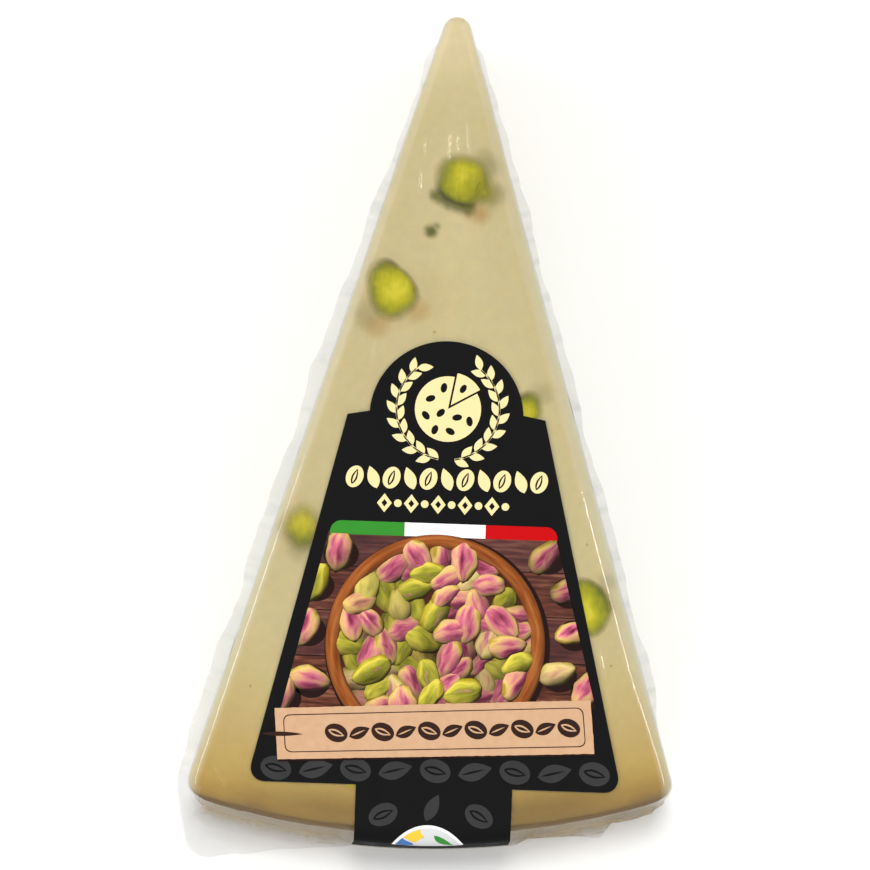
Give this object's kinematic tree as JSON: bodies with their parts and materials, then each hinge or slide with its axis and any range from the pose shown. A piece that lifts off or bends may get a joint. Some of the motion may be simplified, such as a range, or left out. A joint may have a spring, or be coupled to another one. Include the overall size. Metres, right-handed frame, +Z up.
{
  "type": "vacuum-packed pecorino wedge",
  "caption": "Wedge of pecorino with pistachios, vacuum-packed in clear film with a thin sealed brim and a die-cut paper label that folds over the rind.",
  "frame": {"origin": "middle of the foot: centre of the bounding box in plan, on the flat underside", "axes": "+Z up out of the labelled face, +Y along the wedge towards its tip, +X across it to the right"},
  "size_m": [0.0856, 0.1466, 0.0307],
  "materials": {
    "pack": "clear glossy film drawn tight over pale cream cheese with green pistachio kernels, golden towards the rind",
    "label": null
  },
  "bodies": {
    "root": {"pack": "pack", "label": "label"}
  },
  "joints": []
}
